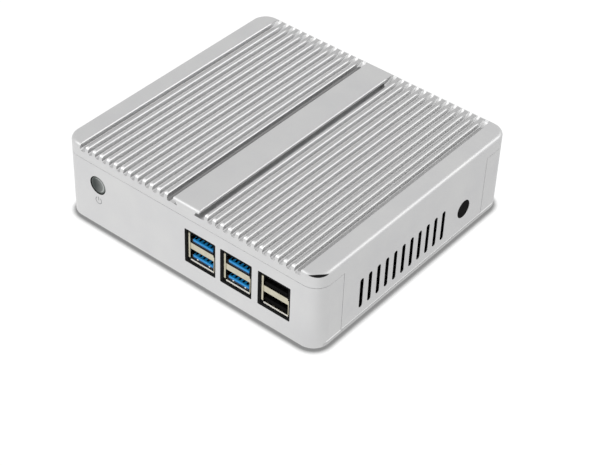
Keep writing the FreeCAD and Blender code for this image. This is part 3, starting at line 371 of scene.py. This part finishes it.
def tint_button(tree, _colour):
    """Painted light and shade on the button: darker towards the left, a painted highlight crescent
    inside the right edge, and a dark rim of painted shade.
    """
    half = 3.2 * MM
    across = spread(tree, axes(tree)["X"], 0.0, 1.0, BUTTON_X - half, BUTTON_X + half)
    # Painted shade: darker towards the left, lighter towards the right.
    dish = blend_colours(tree, across, (0.060, 0.068, 0.065), (0.23, 0.24, 0.235), start=0.2, end=1.0)
    reach = distance(tree, BUTTON_X, BUTTON_Z)
    shifted = distance(tree, BUTTON_X - 0.75 * MM, BUTTON_Z - 0.35 * MM)
    # Painted highlight: a lighter crescent inside the right edge.
    crescent = step(tree, "MULTIPLY", step(tree, "LESS_THAN", reach, 3.25 * MM),
                    step(tree, "GREATER_THAN", shifted, 3.15 * MM))
    # Painted shade: a dark rim at the edge.
    rim = step(tree, "GREATER_THAN", reach, 3.45 * MM)
    return shade(tree, shade(tree, dish, crescent, (0.36, 0.38, 0.37)), rim, (0.10, 0.11, 0.105))


def finish(name, dark, light, patch, rough, grain, depth, metallic=0.0, stretch=(1, 1, 1),
           gloss=0.5, tint=None):
    """A surface with soft patches of two close colours and a fine grain in roughness and relief."""
    material, tree, shader = new_material(name)
    shader.inputs["Metallic"].default_value = metallic
    shader.inputs["Specular IOR Level"].default_value = gloss
    colour = blend_colours(tree, noise(tree, patch), dark, light)
    if tint:
        colour = tint(tree, colour)
    tree.links.new(colour, shader.inputs["Base Color"])
    fine = noise(tree, grain, 2.0, stretch)
    tree.links.new(spread(tree, fine, *rough), shader.inputs["Roughness"])
    bump(tree, shader, fine, depth)
    return material


def make_finishes():
    """One material for each of the record's slots."""
    return {
        # The case, with the painted light and shade of tint_aluminium.
        "anodised_aluminium": finish("Aluminium", (0.64, 0.64, 0.645), (0.67, 0.67, 0.668), 12 * MM,
                                     (0.40, 0.50), 0.22 * MM, 0.006 * MM, metallic=1.0,
                                     tint=tint_aluminium),
        "base_sheet": finish("BaseSheet", (0.60, 0.60, 0.60), (0.64, 0.64, 0.64), 9 * MM,
                             (0.42, 0.55), 0.3 * MM, 0.01 * MM, metallic=1.0),
        "rubber": finish("Rubber", (0.006, 0.006, 0.006), (0.010, 0.010, 0.010), 2 * MM,
                         (0.7, 0.9), 0.15 * MM, 0.02 * MM, gloss=0.12),
        "screw_steel": finish("ScrewSteel", (0.10, 0.10, 0.105), (0.16, 0.16, 0.16), 1 * MM,
                              (0.3, 0.5), 0.1 * MM, 0.004 * MM, metallic=1.0),
        "circuit_board": finish("SolderResist", (0.008, 0.07, 0.03), (0.015, 0.11, 0.05), 3 * MM,
                                (0.25, 0.4), 0.6 * MM, 0.02 * MM),
        "package_green": finish("PackageLaminate", (0.02, 0.12, 0.06), (0.03, 0.16, 0.08), 2 * MM,
                                (0.35, 0.5), 0.3 * MM, 0.01 * MM),
        "silicon": finish("Silicon", (0.10, 0.11, 0.14), (0.13, 0.14, 0.17), 3 * MM,
                          (0.08, 0.14), 1 * MM, 0.001 * MM, metallic=0.6),
        "heat_pad": finish("HeatPad", (0.30, 0.36, 0.45), (0.36, 0.42, 0.52), 1 * MM,
                           (0.75, 0.9), 0.2 * MM, 0.02 * MM),
        "socket_shell": finish("SocketShell", (0.52, 0.49, 0.38), (0.60, 0.57, 0.46), 3 * MM,
                               (0.22, 0.36), 0.12 * MM, 0.003 * MM, metallic=1.0, stretch=(1, 6, 1)),
        # A bright copy of the shell metal: painted highlight.
        "socket_lip": finish("SocketLipHighlight", (0.93, 0.90, 0.82), (0.97, 0.95, 0.88), 1 * MM,
                             (0.3, 0.45), 0.12 * MM, 0.003 * MM, metallic=1.0),
        "blue_plastic": finish("BluePlastic", (0.010, 0.25, 0.61), (0.017, 0.30, 0.68), 2 * MM,
                               (0.30, 0.42), 0.1 * MM, 0.004 * MM, gloss=0.25, tint=tint_blue),
        "black_plastic": finish("BlackPlastic", (0.003, 0.003, 0.003), (0.005, 0.005, 0.005), 2 * MM,
                                (0.5, 0.65), 0.12 * MM, 0.006 * MM, gloss=0.02),
        "black_foam": finish("BlackFoam", (0.004, 0.004, 0.004), (0.008, 0.008, 0.008), 1 * MM,
                             (0.8, 0.95), 0.1 * MM, 0.02 * MM, gloss=0.1),
        "gold_contact": finish("GoldContact", (0.80, 0.60, 0.26), (0.86, 0.68, 0.34), 1 * MM,
                               (0.2, 0.3), 0.1 * MM, 0.002 * MM, metallic=1.0),
        "button_metal": finish("ButtonMetal", (0.145, 0.155, 0.152), (0.165, 0.175, 0.172), 2 * MM,
                               (0.22, 0.30), 0.15 * MM, 0.003 * MM, metallic=1.0, tint=tint_button),
        "bright_metal": finish("BrightMetal", (0.66, 0.66, 0.66), (0.72, 0.72, 0.72), 2 * MM,
                               (0.18, 0.3), 0.1 * MM, 0.002 * MM, metallic=1.0),
        "grey_ferrite": finish("Ferrite", (0.08, 0.08, 0.085), (0.12, 0.12, 0.12), 1 * MM,
                               (0.7, 0.85), 0.2 * MM, 0.02 * MM),
        "lime_plastic": finish("LimePlastic", (0.16, 0.38, 0.05), (0.20, 0.44, 0.07), 2 * MM,
                               (0.35, 0.5), 0.12 * MM, 0.005 * MM),
        "pink_plastic": finish("PinkPlastic", (0.62, 0.16, 0.22), (0.68, 0.19, 0.26), 2 * MM,
                               (0.35, 0.5), 0.12 * MM, 0.005 * MM),
    }


def dress_nodes(finishes):
    """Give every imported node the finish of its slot."""
    for item in frame["record"]["subparts"]:
        node = frame["nodes"][item["node"]]
        for place in node.material_slots:
            place.material = finishes[item["material_slot"]]


def add_piece(name, points, faces, material, ride):
    """A small mesh that moves with a body."""
    mesh = bpy.data.meshes.new(name)
    mesh.from_pydata(points, [], faces)
    mesh.materials.append(material)
    piece = bpy.data.objects.new(name, mesh)
    bpy.context.scene.collection.objects.link(piece)
    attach(piece, ride)


def make_symbol():
    """The faint on and off symbol under the button: an open ring and a bar."""
    ink = finish("SymbolInk", (0.20, 0.20, 0.205), (0.25, 0.25, 0.25), 0.8 * MM, (0.5, 0.6),
                 0.1 * MM, 0.002 * MM, gloss=0.3)
    ring, half_line, gap_angle, count = 1.60 * MM, 0.17 * MM, math.radians(32), 36
    y = FRONT_Y - 0.012 * MM
    points = []
    faces = []
    for index in range(count + 1):
        angle = math.pi / 2 + gap_angle + (2 * math.pi - 2 * gap_angle) * index / count
        for radius in (ring - half_line, ring + half_line):
            points.append((BUTTON_X + radius * math.cos(angle), y, SYMBOL_Z + radius * math.sin(angle)))
        if index:
            faces.append((2 * index - 2, 2 * index, 2 * index + 1, 2 * index - 1))
    first = len(points)
    for x, z in ((-half_line, 0), (half_line, 0), (half_line, ring * 1.2), (-half_line, ring * 1.2)):
        points.append((BUTTON_X + x, y, SYMBOL_Z + z))
    faces.append((first, first + 1, first + 2, first + 3))
    add_piece("PowerSymbol", points, faces, ink, CASE)


def make_painted_corner_reflection():
    """Painted reflection: a black sheet, shaped like a sliver, on the rounded edge at the front right
    corner.
    """
    black = finish("PaintedReflectionBlack", (0.006, 0.006, 0.006), (0.01, 0.01, 0.01), 1 * MM, (0.5, 0.6),
                   0.1 * MM, 0.002 * MM, gloss=0.1)
    middle, half_span, count, rows = math.radians(-43.6), math.radians(33), 32, 5
    round_low = TOP_Z - EDGE_RADIUS
    points = []
    faces = []
    for index in range(count + 1):
        part = 2 * index / count - 1
        angle = middle + half_span * part
        high = TOP_Z - 0.30 * MM - 0.52 * MM * part ** 2
        low = TOP_Z - 1.28 * MM + 0.44 * MM * part ** 2
        for row in range(rows + 1):
            z = high + (low - high) * row / rows
            above = max(z - round_low, 0)
            radius = CORNER_RADIUS - EDGE_RADIUS + math.sqrt(EDGE_RADIUS ** 2 - above ** 2) + 0.015 * MM
            points.append((HALF_WIDTH - CORNER_RADIUS + radius * math.cos(angle),
                           CORNER_RADIUS - HALF_DEPTH + radius * math.sin(angle), z))
            if index and row:
                here = index * (rows + 1) + row
                before = here - rows - 1
                faces.append((before - 1, before, here, here - 1))
    add_piece("CornerPaintedReflection", points, faces, black, CASE)


def box_mesh(x_low, x_high, y_low, y_high, z_low, z_high):
    """Points and faces of a box."""
    points = [(x, y, z) for z in (z_low, z_high) for y in (y_low, y_high) for x in (x_low, x_high)]
    faces = [(0, 2, 3, 1), (4, 5, 7, 6), (0, 1, 5, 4), (2, 6, 7, 3), (0, 4, 6, 2), (1, 3, 7, 5)]
    return points, faces


def make_socket_lips(finishes):
    """Folded lips in front of the USB shells, the lower lip in a bright copy of the shell metal as a
    painted highlight; black boxes in front of the shells as painted shade; and springs in the lower
    mouths, in the same bright metal with a painted glint.
    """
    shell = finishes["socket_shell"]
    # Black foam, used here only for boxes of painted shade.
    foam = finishes["black_foam"]
    # A bright copy of the shell metal: painted highlight.
    bright = finishes["socket_lip"]
    back = USB_FACE_Y - 0.01 * MM
    for number, middle in enumerate((*USB3_X, USB2_X), 1):
        # Left, right, thickness, low and high in millimetres, and finish
        boxes = {
            "LeftLip": (-7.1, -5.95, 0.25, 12.35, 24.9, shell),
            # Painted highlight: the lower lip in the bright copy of the shell metal.
            "LowLip": (-5.7, 6.5, 0.25, 11.0, 11.98, bright),
            # Painted shade: black boxes over the shell above, right of and below left of the mouths.
            "TopPaintedShade": (-7.1, 7.1, 0.2, 25.25, 26.6, foam),
            "RightPaintedShade": (6.3, 7.1, 0.2, 19.4, 25.2, foam),
            "CornerPaintedShade": (-7.1, -5.75, 0.3, 11.0, 12.3, foam),
        }
        for name, (left, right, thick, low, high, material) in boxes.items():
            points, faces = box_mesh(middle + left * MM, middle + right * MM, back - thick * MM, back,
                                     low * MM, high * MM)
            add_piece(f"Usb{number}{name}", points, faces, material, CASE)
        if middle == USB2_X:
            continue
        # Springs, real parts in the bright copy of the shell metal with a painted glint.
        for side, shift in (("A", -2.2), ("B", 4.0)):
            points, faces = box_mesh(middle + (shift - 0.35) * MM, middle + (shift + 0.35) * MM,
                                     back, TONGUE_FACE_Y + 0.01 * MM, 12.9 * MM, 13.3 * MM)
            add_piece(f"Usb{number}Spring{side}", points, faces, bright, CASE)


def floor_glow(tree):
    """Strength of the light table: stronger in front and to the left than behind."""
    geometry = tree.nodes.new("ShaderNodeNewGeometry")
    along = tree.nodes.new("ShaderNodeVectorMath")
    along.operation = "DOT_PRODUCT"
    along.inputs[1].default_value = (-0.50, -0.87, 0)
    tree.links.new(geometry.outputs["Position"], along.inputs[0])
    return spread(tree, along.outputs["Value"], FLOOR_GLOW, FLOOR_GLOW + FLOOR_GLOW_FRONT,
                  start=0.009, end=0.041)


def make_floor():
    """Light table. The camera sees it plain white, with a soft grey painted contact shadow where the
    case is near.
    """
    mesh = bpy.data.meshes.new("Floor")
    build = bmesh.new()
    bmesh.ops.create_grid(build, x_segments=1, y_segments=1, size=FLOOR_SIZE / 2)
    build.to_mesh(mesh)
    build.free()
    floor = bpy.data.objects.new("Floor", mesh)
    bpy.context.scene.collection.objects.link(floor)
    material = bpy.data.materials.new("Floor")
    material.use_nodes = True
    tree = material.node_tree
    tree.nodes.clear()
    output = tree.nodes.new("ShaderNodeOutputMaterial")
    path = tree.nodes.new("ShaderNodeLightPath")
    mix = tree.nodes.new("ShaderNodeMixShader")
    thrown = tree.nodes.new("ShaderNodeEmission")
    tree.links.new(floor_glow(tree), thrown.inputs["Strength"])
    # Painted contact shadow: ambient occlusion darkens the floor the camera sees.
    nearness = tree.nodes.new("ShaderNodeAmbientOcclusion")
    nearness.samples = 16
    nearness.inputs["Distance"].default_value = CONTACT_REACH
    seen = tree.nodes.new("ShaderNodeEmission")
    level = spread(tree, nearness.outputs["AO"], CONTACT_SHADOW_GREY, FLOOR_WHITE, start=0.62, end=0.96)
    tree.links.new(level, seen.inputs["Strength"])
    tree.links.new(path.outputs["Is Camera Ray"], mix.inputs["Fac"])
    tree.links.new(thrown.outputs["Emission"], mix.inputs[1])
    tree.links.new(seen.outputs["Emission"], mix.inputs[2])
    tree.links.new(mix.outputs["Shader"], output.inputs["Surface"])
    mesh.materials.append(material)


def softbox(name, place, width, height, power):
    """A soft lamp that faces the object."""
    data = bpy.data.lights.new(name, "AREA")
    data.shape = "RECTANGLE"
    data.size = width
    data.size_y = height
    data.energy = power
    lamp = bpy.data.objects.new(name, data)
    lamp.location = place
    aim = Vector((0, 0, 0.02)) - Vector(place)
    lamp.rotation_mode = "QUATERNION"
    lamp.rotation_quaternion = aim.to_track_quat("-Z", "Y")
    bpy.context.scene.collection.objects.link(lamp)


def make_studio():
    """Even white surroundings with two soft lamps that light the edges."""
    world = bpy.data.worlds.new("Studio")
    world.use_nodes = True
    background = world.node_tree.nodes["Background"]
    background.inputs["Color"].default_value = (1, 1, 1, 1)
    background.inputs["Strength"].default_value = WORLD_LEVEL
    bpy.context.scene.world = world
    bpy.context.scene.view_settings.view_transform = "Standard"
    softbox("KeyLamp", (-0.60, -0.85, 0.80), 0.8, 0.6, KEY_POWER)
    softbox("RimLamp", (0.65, 0.80, 0.78), 0.9, 0.7, RIM_POWER)


make_camera()
make_studio()
make_floor()
FINISHES = make_finishes()
dress_nodes(FINISHES)
make_symbol()
make_painted_corner_reflection()
make_socket_lips(FINISHES)
